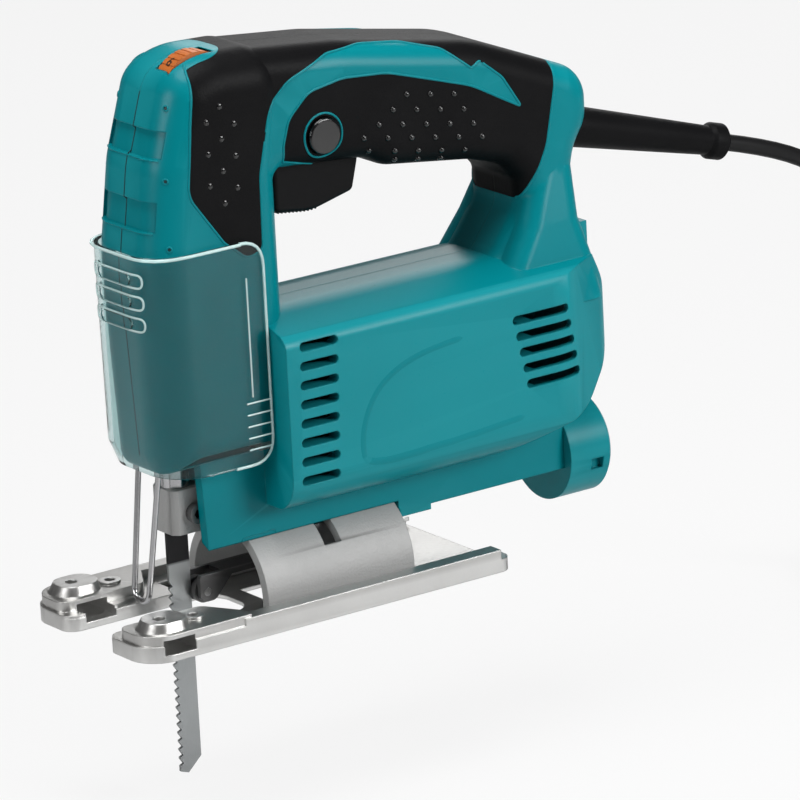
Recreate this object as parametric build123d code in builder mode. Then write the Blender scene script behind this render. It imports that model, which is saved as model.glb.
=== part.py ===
from build123d import *
import math
import os

# Corded D-handle jigsaw. Millimetres, +Z up. The sole of the shoe is the plane z = 0, the blade
# stands near x = 0, the tool cuts towards -X and its cord leaves towards +X.

# Walls and clearances
wall = 2.3
skin = 1.2
slide_gap = 0.3
running_gap = 0.06
seat_gap = 0.2

# Head, the upright nose that holds the slider
head_half_width = 20.5
head_round = 12.4
head_bottom = 55.0
head_outline = [
    (-9, head_bottom), (-12.8, 128), (-8.2, 160), (0.9, 189.4), (14, 194.6), (47, 193.4), (41, 150),
    (41, head_bottom),
]
head_radii = [2, 60, 40, 13.5, 30, 13.5, 14, 2]
crown_rear, crown_half_width, crown_round, crown_low = 26.5, 14.0, 11.0, 178.0
band_half_width = 15.5
band_heights = [(139, 149), (163, 172)]

# Handle loop
handle_half_width = 18.5
handle_round = 9.0
loop_outline = [(16, 72), (16, 195), (70, 189.4), (125, 179.4), (170.3, 160.5), (170.3, 144), (164.5, 135),
                (160.5, 116), (160.5, 72)]
loop_radii = [10, 10.5, 60, 60, 13, 14, 20, 30, 10]
gap_outline = [(41, 97), (124, 97), (140, 118), (139.5, 128), (134, 134.5), (121, 138.2), (86, 143),
               (78, 147.3), (41, 150.5)]
gap_radii = [4, 22, 12, 5, 6, 20, 14, 14, 3]

# Motor barrel behind the head
barrel_half_width = 31.0
barrel_round = 13.0
barrel_bottom = 36.0
barrel_shoulder, barrel_top = 97.0, 103.0
barrel_crown = 12.0
barrel_front = 30.0
barrel_rear = 171.0
barrel_outline = [
    (barrel_front, barrel_bottom), (118, barrel_bottom), (156, 46.5), (barrel_rear, 64), (169.5, 86),
    (160, barrel_top), (barrel_front, barrel_top),
]
barrel_radii = [2, 60, 20, 26, 16, 8, 2]
barrel_plan = [(barrel_front, 21.6), (60, barrel_half_width), (146, barrel_half_width), (172, 20)]
barrel_plan_radii = [2, 90, 30, 12]

# Riser that joins the barrel to the rear of the loop: height, front, rear and half width of each section
riser_sections = [
    (84, 112, 167, 27), (97, 127, 165.5, 24.6), (112, 137, 161.6, 22.2), (135, 147.5, 162.5, 17.4),
]
riser_round = 7.0

# Keel under the barrel, seat of the bevel segment
keel_half_width = 14.0
keel_front = 6.0
keel_rear = 154.0
keel_outline = [(keel_front, 23), (84, 23), (84, 20), (97, 20), (97, 22), (keel_rear, 22), (keel_rear, 46),
                (34, 46), (34, 60), (keel_front - 2, 60)]
duct_half_width, duct_low, duct_high = 10.0, 24.5, 36.0
well_front, well_rear, well_half_width = -4.5, 18.5, 10.3

# Bevel segment, shoe and their clamp
tilt_height = 6.0
segment_radius = 24.0
segment_wall = 3.5
segment_front, segment_rear = 22.0, 82.0
segment_foot = 1.6
flange_reach, flange_thick = 2.0, 1.4
shoe_slide = 12.0
shoe_front, shoe_rear = -35.0, 114.0
shoe_half_width = 37.0
plate_thick = 4.5
plate_floor = 1.4
rail_width, rail_height, rail_front = 6.0, 8.0, 4.0
fork_half_width, fork_end = 11.4, 24.0
prong_height, prong_inner, prong_rear = 9.0, 17.0, -1.0
fence_front, fence_rear, fence_low, fence_high = -28.0, -16.0, 2.4, 7.4
fence_screw_x, fence_screw_y, fence_screw_radius, fence_boss = -23.7, 26.8, 2.1, 12.2
tip_x, tip_length, tip_width, tip_round, tip_slope, tip_lean = -23.2, 21.6, 19.6, 9.0, 3.4, 1.2
bolt_x, bolt_radius, bolt_head_radius, bolt_head_height = 52.0, 3.0, 5.0, 4.4
saddle_length, saddle_half_width, saddle_bottom = 20.0, 10.0, 14.6
strip_thick = 1.8
nut_side, nut_height = 16.0, 4.0

# Motor and gears
motor_z = 72.0
shaft_radius = 4.0
stator_radius, stator_bore, stator_front, stator_rear = 26.4, 17.3, 57.0, 101.0
winding_inner, winding_outer, winding_reach = 18.6, 24.6, 5.0
armature_gap = 0.6
commutator_radius, commutator_front, commutator_rear = 11.0, 107.0, 120.0
fan_front, fan_rear, fan_radius, fan_blades = 38.0, 49.0, 20.5, 11
bearing_radius, bearing_width = 11.0, 7.0
front_bearing_x, rear_bearing_x = 27.0, 126.0
module = 0.8
pinion_teeth, gear_teeth = 8, 42
gear_front, gear_rear = 16.0, 24.0
crank_throw, crank_pin_radius = 9.0, 3.0
gear_z = motor_z + module * (pinion_teeth + gear_teeth) / 2
plate_front, plate_rear = 26.0, 30.0

# Slider, blade and guard
blade_x = 3.0
rod_radius, rod_bottom, rod_top = 5.0, 46.5, 140.0
bush_radius, bush_low, bush_high, bush_length = 8.0, 57.5, 118.0, 9.0
yoke_front, yoke_rear, yoke_half_width, yoke_half_height = -3.5, 14.0, 14.5, 7.0
clamp_bottom, clamp_front, clamp_rear, clamp_half_width = 31.0, -2.5, 10.5, 7.0
blade_front, blade_back, blade_thick, blade_tip, blade_top = -1.9, 6.5, 1.2, -55.0, 44.0
tooth_pitch, tooth_depth = 3.0, 1.3
wire_radius = 1.0
roller_radius, roller_groove, roller_half_width, roller_z, roller_pin = 4.2, 0.8, 3.2, 8.4, 1.5
retainer_travel = 3.0

# Dust cover
cover_wall = 1.6
cover_bottom, cover_shoulder, cover_top = 54.5, 63.0, 131.0
cover_front_bottom, cover_front_shoulder, cover_front_top = -11.0, -14.6, -15.4
cover_rear, cover_round, cover_corner = 29.0, 15.0, 9.0

# Controls
trigger_half_width, trigger_travel = 7.8, 5.0
button_x, button_z, button_radius, button_travel = 58.0, 160.0, 6.2, 2.5
dial_x, dial_z, dial_radius, dial_low, dial_high, dial_shaft = 15.2, 181.4, 13.6, -10.0, -3.0, 2.0
switch_front, switch_rear, switch_bottom, switch_top, switch_half_width = 48.0, 94.0, 158.4, 179.0, 9.0

# Cord and its fittings
cord_radius = 3.0
relief_x, relief_z, relief_drop, relief_length = 168.5, 139.2, 15.6, 72.6
relief_root, relief_tip, relief_bead, relief_flange = 7.2, 5.2, 6.5, 9.0
flange_in, flange_out = -9.0, -6.2
floor_z = -65.0
tie_thick, tie_width = 1.2, 8.0
coil_center = (346, 0)
coil_pitch, coil_outer, coil_turns = 6.7, 48.4, 3.25
coil_z = floor_z + tie_thick + slide_gap + cord_radius
plug_width, plug_height = 26.0, 13.6

# Hex key, dust port and screws
key_x, key_radius, key_low, key_high = 170.5, 2.1, 91.0, 124.0
port_z, port_radius, port_bore, port_rear, port_wall = 26.0, 18.0, 12.5, 172.0, 5.5
boss_radius, screw_radius, screw_head_radius, screw_reach = 6.0, 2.0, 4.0, 8.0
screw_places = [(36, 172), (110, 173), (152, 159), (150, 98), (148, 49), (27, 42)]

os.makedirs("parts", exist_ok=True)


def save(piece, name):
    piece.part.label = name
    export_step(piece.part, f"parts/{name}.step")


def side_solid(points, radii, half_width, inset, edge_round, open_bottom=None):
    """Side outline pulled out to both sides, its two rims rounded."""
    with BuildPart() as solid:
        with BuildSketch(Plane.XZ):
            with BuildLine():
                FilletPolyline(*points, radius=radii, close=True)
            make_face()
            if inset:
                offset(amount=-inset, mode=Mode.REPLACE)
        extrude(amount=half_width - inset, both=True)
        rims = solid.faces().sort_by(Axis.Y)[0].edges() + solid.faces().sort_by(Axis.Y)[-1].edges()
        if open_bottom is not None:
            rims = rims.filter_by(lambda edge: edge.center().Z > open_bottom + inset + 1)
        fillet(rims, edge_round - inset)
    return solid.part


def handle_loop(inset):
    """Closed handle loop, its outer and inner rims rounded."""
    with BuildPart() as loop:
        with BuildSketch(Plane.XZ):
            with BuildLine():
                FilletPolyline(*loop_outline, radius=loop_radii, close=True)
            make_face()
            with BuildLine():
                FilletPolyline(*gap_outline, radius=gap_radii, close=True)
            make_face(mode=Mode.SUBTRACT)
            if inset:
                offset(amount=-inset, mode=Mode.REPLACE)
        extrude(amount=handle_half_width - inset, both=True)
        rims = loop.faces().sort_by(Axis.Y)[0].edges() + loop.faces().sort_by(Axis.Y)[-1].edges()
        fillet(rims, handle_round - inset)
    return loop.part


def barrel(inset):
    """Motor barrel, the common part of its side, plan and front outlines."""
    plan = barrel_plan + [(x, -y) for x, y in reversed(barrel_plan)]
    plan_radii = barrel_plan_radii + barrel_plan_radii[::-1]
    with BuildPart() as body:
        with BuildSketch(Plane.XZ):
            with BuildLine():
                FilletPolyline(*barrel_outline, radius=barrel_radii, close=True)
            make_face()
            if inset:
                offset(amount=-inset, mode=Mode.REPLACE)
        extrude(amount=barrel_half_width, both=True)
        with BuildSketch(Plane.XY):
            with BuildLine():
                FilletPolyline(*plan, radius=plan_radii, close=True)
            make_face()
            if inset:
                offset(amount=-inset, mode=Mode.REPLACE)
        extrude(amount=2 * barrel_top, mode=Mode.INTERSECT)
        with BuildSketch(Plane.YZ):
            with BuildLine():
                FilletPolyline(
                    (-barrel_half_width, barrel_bottom), (barrel_half_width, barrel_bottom),
                    (barrel_half_width, barrel_shoulder), (barrel_crown, barrel_top),
                    (-barrel_crown, barrel_top), (-barrel_half_width, barrel_shoulder),
                    radius=[barrel_round, barrel_round, 5, 30, 30, 5], close=True,
                )
            make_face()
            if inset:
                offset(amount=-inset, mode=Mode.REPLACE)
        extrude(amount=2 * barrel_rear, mode=Mode.INTERSECT)
    return body.part


def riser(inset):
    """Column that narrows upwards from the barrel's shoulders to the loop."""
    with BuildPart() as column:
        for z, front, rear, half_width in riser_sections:
            with BuildSketch(Plane.XY.offset(z)):
                with Locations(((front + rear) / 2, 0)):
                    RectangleRounded(rear - front - 2 * inset, 2 * (half_width - inset), riser_round - inset)
        loft(ruled=True)
    return column.part


def span_box(x0, x1, y0, y1, z0, z1, mode=Mode.ADD):
    """Box between two corners, in the part that is being built."""
    with Locations(((x0 + x1) / 2, (y0 + y1) / 2, (z0 + z1) / 2)):
        Box(x1 - x0, y1 - y0, z1 - z0, mode=mode)


def x_rod(x0, x1, y, z, radius, mode=Mode.ADD):
    """Round bar along X."""
    with Locations(Location(((x0 + x1) / 2, y, z), (0, 90, 0))):
        Cylinder(radius, x1 - x0, mode=mode)


def y_rod(x, y0, y1, z, radius, mode=Mode.ADD):
    """Round bar along Y."""
    with Locations(Location((x, (y0 + y1) / 2, z), (90, 0, 0))):
        Cylinder(radius, y1 - y0, mode=mode)


def z_rod(x, y, z0, z1, radius, mode=Mode.ADD):
    """Round bar along Z."""
    with Locations((x, y, (z0 + z1) / 2)):
        Cylinder(radius, z1 - z0, mode=mode)


def cut_box(x0, x1, y0, y1, z0, z1):
    """Box taken out of the part that is being built."""
    span_box(x0, x1, y0, y1, z0, z1, mode=Mode.SUBTRACT)


def x_hole(x0, x1, y, z, radius):
    """Round hole along X."""
    x_rod(x0, x1, y, z, radius, mode=Mode.SUBTRACT)


def y_hole(x, y0, y1, z, radius):
    """Round hole along Y."""
    y_rod(x, y0, y1, z, radius, mode=Mode.SUBTRACT)


def z_hole(x, y, z0, z1, radius):
    """Round hole along Z."""
    z_rod(x, y, z0, z1, radius, mode=Mode.SUBTRACT)


# Axis of the strain relief, pointing out of the handle
relief_way = Vector(math.cos(math.radians(relief_drop)), 0, -math.sin(math.radians(relief_drop)))
relief_plane = Plane(origin=(relief_x, 0, relief_z), x_dir=(0, 1, 0), z_dir=relief_way)

# Casing blank, before it is split at the seam
head_outer = side_solid(head_outline, head_radii, head_half_width, 0, head_round, head_bottom)
head_skin = side_solid(head_outline, head_radii, head_half_width, skin, head_round, head_bottom)
head_inner = side_solid(head_outline, head_radii, head_half_width, wall, head_round, head_bottom)
loop_outer, loop_skin, loop_inner = handle_loop(0), handle_loop(skin), handle_loop(wall)
barrel_outer, barrel_inner = barrel(0), barrel(wall)
riser_outer, riser_skin, riser_inner = riser(0), riser(skin), riser(wall)

with BuildPart() as casing_blank:
    add(head_outer)
    add(loop_outer)
    add(barrel_outer)
    add(riser_outer)
    with BuildSketch(Plane.XZ):
        with BuildLine():
            Polyline(*keel_outline, close=True)
        make_face()
    extrude(amount=keel_half_width, both=True)
    span_box(160, key_x + 4, -5, 5, 95, 105)

with BuildPart() as casing_room:
    add(head_inner)
    add(loop_inner)
    add(barrel_inner)
    add(riser_inner)

# Grip zone in side view: nose panel, handle top and rear column, without the teal band
grip_zone = [(15, 200), (7.5, 190), (4.8, 173), (2, 150), (15, 132), (23.5, 125), (30.3, 127), (31, 137),
             (60, 137), (100, 127), (126, 117), (140.3, 121), (149.3, 139), (154, 161), (160, 184),
             (120, 200), (60, 206)]
grip_zone_radii = [2, 6, 30, 10, 4, 5, 3, 1, 1, 1, 1, 4, 20, 20, 2, 40, 40]
band_zone = [(30.6, 120), (30.8, 152), (36, 173), (45, 181), (62, 186.9), (77, 187.2), (94, 184.6),
             (109, 180), (119.4, 171.6), (123.2, 173.4), (132, 166.2), (139.5, 154.5), (119, 165.8),
             (85, 176.5), (67, 178), (53, 175.8), (44.5, 168), (41.8, 159), (42.4, 153.6),
             (75, 144.3), (68, 120)]
band_radii = [0, 20, 14, 14, 10, 30, 30, 10, 1, 1, 10, 0.5, 40, 30, 20, 10, 10, 6, 1, 3, 0]

with BuildPart() as grip_blank:
    with BuildSketch(Plane.XZ):
        with BuildLine():
            FilletPolyline(*grip_zone, radius=grip_zone_radii, close=True)
        make_face()
        with BuildLine():
            FilletPolyline(*band_zone, radius=band_radii, close=True)
        make_face(mode=Mode.SUBTRACT)
    extrude(amount=2 * head_half_width, both=True)
    add(casing_blank.part, mode=Mode.INTERSECT)
    add(head_skin, mode=Mode.SUBTRACT)
    add(loop_skin, mode=Mode.SUBTRACT)
    add(riser_skin, mode=Mode.SUBTRACT)
    add(barrel_outer, mode=Mode.SUBTRACT)
    with BuildSketch(Plane.XY.offset(crown_low)):
        with Locations((crown_rear - head_half_width, 0)):
            RectangleRounded(2 * head_half_width, 2 * crown_half_width, crown_round)
    extrude(amount=2 * head_half_width, mode=Mode.SUBTRACT)
    y_hole(button_x, -2 * head_half_width, 0, button_z, button_radius + slide_gap)
    y_hole(dial_x, dial_low - 0.5, dial_high + 0.5, dial_z, dial_radius + 0.6)
    cut_box(43.6, 81, -trigger_half_width - slide_gap, trigger_half_width + slide_gap, 120, 156)
    for x, z in screw_places:
        y_hole(x, screw_reach, 2 * head_half_width, z, screw_head_radius + slide_gap)

# Inner ribs and screw bosses, trimmed to the casing's outside
with BuildPart() as casing_ribs:
    for x, z in screw_places:
        y_rod(x, -barrel_half_width, barrel_half_width, z, boss_radius)
    for x in (stator_front + 3, stator_rear - 6):
        span_box(x, x + 3, -barrel_half_width, barrel_half_width, barrel_bottom, motor_z + stator_radius + 6)
    x_hole(stator_front, stator_rear, 0, motor_z, stator_radius)
    span_box(rear_bearing_x, rear_bearing_x + bearing_width - 1, -barrel_half_width, barrel_half_width,
             motor_z - bearing_radius - 4, motor_z + bearing_radius + 4)
    x_hole(rear_bearing_x - 1, rear_bearing_x + bearing_width, 0, motor_z, bearing_radius)
    span_box(switch_rear + seat_gap, switch_rear + 2.7, -handle_half_width, handle_half_width,
             142, switch_top)
    span_box(18, 20.5, 12 + seat_gap, head_half_width, 168, 186)
    add(casing_blank.part, mode=Mode.INTERSECT)

# Shallow recess bands across the nose
with BuildPart() as nose_bands:
    for low, high in band_heights:
        span_box(-40, barrel_front / 2, -band_half_width, band_half_width, low, high)
    add(head_outer, mode=Mode.INTERSECT)
    add(head_skin, mode=Mode.SUBTRACT)

with BuildPart() as casing:
    add(casing_blank.part)
    add(casing_room.part, mode=Mode.SUBTRACT)
    add(casing_ribs.part)
    add(grip_blank.part, mode=Mode.SUBTRACT)
    add(nose_bands.part, mode=Mode.SUBTRACT)
    # seat of the bevel segment, slider well and bolt hole
    seat_rear = segment_rear + 1.5
    x_hole(keel_front - 3, seat_rear, 0, tilt_height, segment_radius + slide_gap)
    cut_box(well_front, well_rear, -well_half_width, well_half_width, 15, head_bottom + wall + 0.1)
    z_hole(bolt_x, 0, 20, barrel_bottom + wall + 1, bolt_radius + 0.1)
    # dust duct, wire guard sockets, hex key clip
    cut_box(seat_rear - 1, keel_rear, -duct_half_width, duct_half_width, duct_low, duct_high)
    for side in (-1, 1):
        z_hole(-7.2, side * 6, head_bottom - 1, head_bottom + 8, wire_radius + 0.1)
    z_hole(key_x, 0, key_low, key_high, key_radius + slide_gap)
    # trigger, button, dial and cord openings
    cut_box(43.6, 81, -trigger_half_width - slide_gap, trigger_half_width + slide_gap, 139, 156)
    y_hole(button_x, -2 * head_half_width, -8, button_z, button_radius + slide_gap)
    y_hole(dial_x, dial_low - 0.5, dial_high + 0.5, dial_z, dial_radius + 0.6)
    with BuildSketch(relief_plane.offset(flange_out)):
        Circle(relief_root + seat_gap / 2)
    extrude(amount=20, mode=Mode.SUBTRACT)
    with BuildSketch(relief_plane.offset(flange_in)):
        Circle(relief_flange + seat_gap / 2)
    extrude(amount=flange_out - flange_in, mode=Mode.SUBTRACT)
    # screw holes, open to the right
    for x, z in screw_places:
        y_hole(x, -screw_reach, screw_reach + 1, z, screw_radius + 0.05)
        y_hole(x, screw_reach, 2 * barrel_half_width, z, screw_head_radius + slide_gap)
    # vents: eight exhaust slots beside the fan, five intake slots beside the brushes
    with BuildSketch(Plane.XZ):
        for i in range(8):
            with Locations((41.5 + 0.25 * i, 47.5 + 6.6 * i)):
                SlotOverall(15.5, 3.2)
        for i in range(5):
            with Locations((139.5 - 1.2 * i, 61.5 + 5.8 * i)):
                SlotOverall(24, 3.2)
    extrude(amount=2 * barrel_half_width, both=True, mode=Mode.SUBTRACT)

with BuildPart() as housing_left:
    add(casing.part)
    split(bisect_by=Plane.XZ, keep=Keep.TOP)
save(housing_left, "housing_left")

with BuildPart() as housing_right:
    add(casing.part)
    split(bisect_by=Plane.XZ, keep=Keep.BOTTOM)
save(housing_right, "housing_right")

with BuildPart() as grip_left:
    add(grip_blank.part)
    split(bisect_by=Plane.XZ, keep=Keep.TOP)
save(grip_left, "grip_left")

with BuildPart() as grip_right:
    add(grip_blank.part)
    split(bisect_by=Plane.XZ, keep=Keep.BOTTOM)
save(grip_right, "grip_right")

with BuildPart() as housing_screws:
    for x, z in screw_places:
        y_rod(x, -screw_reach, screw_reach, z, screw_radius)
        y_rod(x, screw_reach, screw_reach + 3, z, screw_head_radius)
        y_hole(x, screw_reach + 1.4, screw_reach + 4, z, 1.2)
save(housing_screws, "housing_screws")

# Dust port collar with a window into the duct and a hook slot on each side
with BuildPart() as dust_port:
    x_rod(keel_rear, port_rear, 0, port_z, port_radius)
    x_hole(keel_rear + port_wall, port_rear + 1, 0, port_z, port_bore)
    cut_box(keel_rear - 1, keel_rear + port_wall + 1, -duct_half_width, duct_half_width, duct_low, duct_high)
    rear_rims = dust_port.edges().filter_by(GeomType.CIRCLE).sort_by(Axis.X)[-2:]
    chamfer(rear_rims.sort_by(SortBy.RADIUS)[-1:], 1.2)
    for side in (-1, 1):
        cut_box(port_rear - 9, port_rear - 4, side * 20 - 5, side * 20 + 5, port_z - 6, port_z - 2)
save(dust_port, "dust_port")

# Gear housing: bearing plate with two arms that carry the slider bushes
with BuildPart() as gear_housing:
    plate_half = head_half_width - wall - seat_gap
    span_box(plate_front, plate_rear, -plate_half, plate_half, bush_low, bush_high + bush_length)
    x_rod(plate_front, front_bearing_x + bearing_width, 0, motor_z, bearing_radius + 3)
    for low in (bush_low, bush_high):
        span_box(blade_x, plate_front, -10, 10, low, low + bush_length)
        z_rod(blade_x, 0, low, low + bush_length, 10)
        z_hole(blade_x, 0, low - 1, low + bush_length + 1, bush_radius)
    x_hole(front_bearing_x, front_bearing_x + 2 * bearing_width, 0, motor_z, bearing_radius)
    x_hole(plate_front - 1, front_bearing_x + 1, 0, motor_z, bearing_radius - 3)
    x_hole(plate_front - 1, plate_rear + 1, 0, gear_z, shaft_radius)
save(gear_housing, "gear_housing")

with BuildPart() as slider_bushes:
    for low in (bush_low, bush_high):
        z_rod(blade_x, 0, low, low + bush_length, bush_radius)
        z_hole(blade_x, 0, low - 1, low + bush_length + 1, rod_radius + running_gap)
save(slider_bushes, "slider_bushes")

# Slider: rod with the cross slot that the crank pin drives
with BuildPart() as slider:
    z_rod(blade_x, 0, rod_bottom, rod_top, rod_radius)
    span_box(yoke_front, yoke_rear, -yoke_half_width, yoke_half_width,
             gear_z - yoke_half_height, gear_z + yoke_half_height)
    fillet(slider.edges().filter_by(Axis.X), 3)
    slot_half = crank_throw + crank_pin_radius + slide_gap
    slot_low = gear_z - crank_pin_radius - running_gap
    cut_box(9, yoke_rear + 1, -slot_half, slot_half, slot_low, 2 * gear_z - slot_low)
save(slider, "slider")

# Blade clamp: block with a slot for the blade and a threaded side hole
with BuildPart() as blade_clamp:
    span_box(clamp_front, clamp_rear, -clamp_half_width, clamp_half_width, clamp_bottom, rod_bottom)
    chamfer(blade_clamp.edges().filter_by(Axis.Z), 2)
    cut_box(blade_front, blade_back, -blade_thick / 2, blade_thick / 2, clamp_bottom - 1, blade_top)
    y_hole(blade_back - 1, -clamp_half_width - 1, -blade_thick / 2, clamp_bottom + 7, 2)
save(blade_clamp, "blade_clamp")

with BuildPart() as clamp_screw:
    y_rod(blade_back - 1, -clamp_half_width, -blade_thick / 2, clamp_bottom + 7, 2)
    y_rod(blade_back - 1, -clamp_half_width - 3, -clamp_half_width, clamp_bottom + 7, 3.4)
    with BuildSketch(Plane.XZ.offset(clamp_half_width + 1.2)):
        with Locations((blade_back - 1, clamp_bottom + 7)):
            RegularPolygon(1.8, 6)
    extrude(amount=3, mode=Mode.SUBTRACT)
save(clamp_screw, "clamp_screw")

# Blade: flat strip with a slanted tip and a row of teeth along its front edge
tooth_count = int((clamp_bottom - 12 - blade_tip) / tooth_pitch) - 2
with BuildPart() as blade:
    with BuildSketch(Plane.XZ):
        with BuildLine():
            Polyline(
                (blade_front, blade_top), (blade_back, blade_top), (blade_back, blade_tip + 5),
                (blade_front + 3, blade_tip), (blade_front, blade_tip + 1), close=True,
            )
        make_face()
        for i in range(tooth_count):
            low = blade_tip + 3 + i * tooth_pitch
            with BuildLine():
                Polyline(
                    (blade_front - 0.1, low), (blade_front + tooth_depth, low + 0.6),
                    (blade_front - 0.1, low + tooth_pitch - 0.3), close=True,
                )
            make_face(mode=Mode.SUBTRACT)
    extrude(amount=blade_thick / 2, both=True)
save(blade, "blade")

# Crank gear with its pin, on a fixed shaft
def gear_face(teeth, first_angle):
    """Spur teeth with straight flanks, a little thin for backlash."""
    pitch_radius = module * teeth / 2
    root, tip = pitch_radius - 1.2 * module, pitch_radius + 0.95 * module
    Circle(root)
    with PolarLocations(0, teeth, start_angle=first_angle):
        Polygon(
            (root - 0.2, -0.86 * module), (root - 0.2, 0.86 * module), (pitch_radius, 0.66 * module),
            (tip, 0.22 * module), (tip, -0.22 * module), (pitch_radius, -0.66 * module), align=None,
        )


with BuildPart() as crank_gear:
    with BuildSketch(Plane.YZ.offset(gear_front)):
        with Locations((0, gear_z)):
            gear_face(gear_teeth, -90 + 180 / gear_teeth)
    extrude(amount=gear_rear - gear_front)
    x_hole(gear_front - 1, gear_rear + 1, 0, gear_z, shaft_radius + running_gap)
    x_hole(gear_front - 1, gear_front + 2, 0, gear_z, 13.5)
    x_rod(gear_front, gear_front + 3, 0, gear_z, shaft_radius + 2.5)
    x_hole(gear_front - 1, gear_rear + 1, 0, gear_z, shaft_radius + running_gap)
    x_rod(gear_front, gear_rear, crank_throw, gear_z, crank_pin_radius + 2)
    x_hole(gear_front - 1, gear_rear + 1, 0, gear_z, shaft_radius + running_gap)
    x_hole(gear_front - 1, gear_rear + 1, crank_throw, gear_z, crank_pin_radius)
save(crank_gear, "crank_gear")

with BuildPart() as crank_pin:
    x_rod(yoke_rear + 0.4, gear_rear, crank_throw, gear_z, crank_pin_radius)
save(crank_pin, "crank_pin")

with BuildPart() as gear_shaft:
    x_rod(gear_front + 0.4, plate_rear, 0, gear_z, shaft_radius)
save(gear_shaft, "gear_shaft")

# Armature: shaft with its pinion, core, commutator and fan
with BuildPart() as armature_shaft:
    with BuildSketch(Plane.YZ.offset(gear_front - 0.5)):
        with Locations((0, motor_z)):
            gear_face(pinion_teeth, 90)
    extrude(amount=front_bearing_x - gear_front)
    x_rod(front_bearing_x - 0.5, rear_bearing_x + bearing_width, 0, motor_z, shaft_radius)
save(armature_shaft, "armature_shaft")

with BuildPart() as armature_core:
    core_radius = stator_bore - armature_gap
    with BuildSketch(Plane.YZ.offset(stator_front)):
        with Locations((0, motor_z)):
            Circle(core_radius)
            with PolarLocations(core_radius - 3.5, 12):
                Rectangle(7.5, 2, mode=Mode.SUBTRACT)
            Circle(shaft_radius, mode=Mode.SUBTRACT)
    extrude(amount=stator_rear - stator_front)
save(armature_core, "armature_core")

with BuildPart() as commutator:
    x_rod(commutator_front, commutator_rear, 0, motor_z, commutator_radius)
    x_rod(commutator_front, commutator_front + 2, 0, motor_z, commutator_radius + 1.5)
    x_hole(commutator_front - 1, commutator_rear + 1, 0, motor_z, shaft_radius)
save(commutator, "commutator")

with BuildPart() as cooling_fan:
    x_rod(fan_rear - 2, fan_rear, 0, motor_z, fan_radius)
    x_rod(fan_front, fan_rear, 0, motor_z, shaft_radius + 4)
    with BuildSketch(Plane.YZ.offset(fan_front)):
        with Locations((0, motor_z)):
            with PolarLocations((fan_radius + shaft_radius + 3) / 2, fan_blades):
                Rectangle(fan_radius - shaft_radius - 3.2, 1.6, rotation=18)
    extrude(amount=fan_rear - fan_front)
    x_hole(fan_front - 1, fan_rear + 1, 0, motor_z, shaft_radius)
save(cooling_fan, "cooling_fan")


def ball_bearing(x):
    """Bearing ring with a shield groove on each side."""
    with BuildPart() as ring:
        x_rod(x, x + bearing_width, 0, motor_z, bearing_radius)
        for face_x in (x - 1, x + bearing_width - 0.8):
            x_hole(face_x, face_x + 1.8, 0, motor_z, bearing_radius - 1.8)
        x_rod(x, x + bearing_width, 0, motor_z, shaft_radius + 2)
        x_hole(x - 1, x + bearing_width + 1, 0, motor_z, shaft_radius + running_gap)
    return ring


save(ball_bearing(front_bearing_x), "front_bearing")
save(ball_bearing(rear_bearing_x), "rear_bearing")

# Stator: laminated ring with two coil slots, and the coils that lie in them
with BuildPart() as field_windings:
    with BuildSketch(Plane.YZ.offset(stator_front - winding_reach)):
        with Locations((0, motor_z)):
            Circle(winding_outer)
            Circle(winding_inner, mode=Mode.SUBTRACT)
            Rectangle(2 * winding_outer, 2 * 13, mode=Mode.SUBTRACT)
    extrude(amount=stator_rear - stator_front + 2 * winding_reach)
save(field_windings, "field_windings")

with BuildPart() as stator_core:
    x_rod(stator_front, stator_rear, 0, motor_z, stator_radius)
    x_hole(stator_front - 1, stator_rear + 1, 0, motor_z, stator_bore)
    add(field_windings.part, mode=Mode.SUBTRACT)
save(stator_core, "stator_core")

# Brush gear: holders, carbon brushes and their spiral springs
brush_x = (commutator_front + commutator_rear) / 2 + 1
barrel_room = barrel_half_width - wall
with BuildPart() as brush_holders:
    for side in (-1, 1):
        low, high = sorted((side * (commutator_radius + 2), side * (barrel_room - seat_gap)))
        span_box(brush_x - 5, brush_x + 5, low, high, motor_z - 4, motor_z + 4)
        cut_box(brush_x - 3.2, brush_x + 3.2, low - 1, high + 1, motor_z - 2.2, motor_z + 2.2)
save(brush_holders, "brush_holders")

with BuildPart() as carbon_brushes:
    for side in (-1, 1):
        low, high = sorted((side * (commutator_radius + slide_gap), side * 21))
        span_box(brush_x - 3, brush_x + 3, low, high, motor_z - 2, motor_z + 2)
save(carbon_brushes, "carbon_brushes")

with BuildPart() as brush_springs:
    for side in (-1, 1):
        with BuildSketch(Plane.XY.offset(motor_z - 1.8)):
            with Locations((brush_x, side * 23.7)):
                Circle(2.6)
                Circle(2.1, mode=Mode.SUBTRACT)
                Circle(1.5)
                Circle(1.0, mode=Mode.SUBTRACT)
                with Locations((1.8, 0)):
                    Rectangle(0.9, 0.5)
        extrude(amount=3.6)
save(brush_springs, "brush_springs")

# Switch, speed control and the controls that work them
with BuildPart() as switch_body:
    span_box(switch_front, switch_rear, -switch_half_width, switch_half_width, switch_bottom, switch_top)
    fillet(switch_body.edges().filter_by(Axis.Z), 2)
save(switch_body, "switch_body")

with BuildPart() as speed_control:
    span_box(10, 29, -2, 12, 168, 187)
    y_hole(dial_x, -3, 6, dial_z, dial_shaft + running_gap)
save(speed_control, "speed_control")

with BuildPart() as speed_dial:
    y_rod(dial_x, dial_low, dial_high, dial_z, dial_radius)
    with Locations(Location((dial_x, (dial_low + dial_high) / 2, dial_z), (90, 0, 0))):
        with PolarLocations(dial_radius + 0.2, 30):
            Box(0.9, 0.7, dial_high - dial_low + 1, mode=Mode.SUBTRACT)
    y_rod(dial_x, dial_high, 4, dial_z, dial_shaft)
save(speed_dial, "speed_dial")

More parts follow.
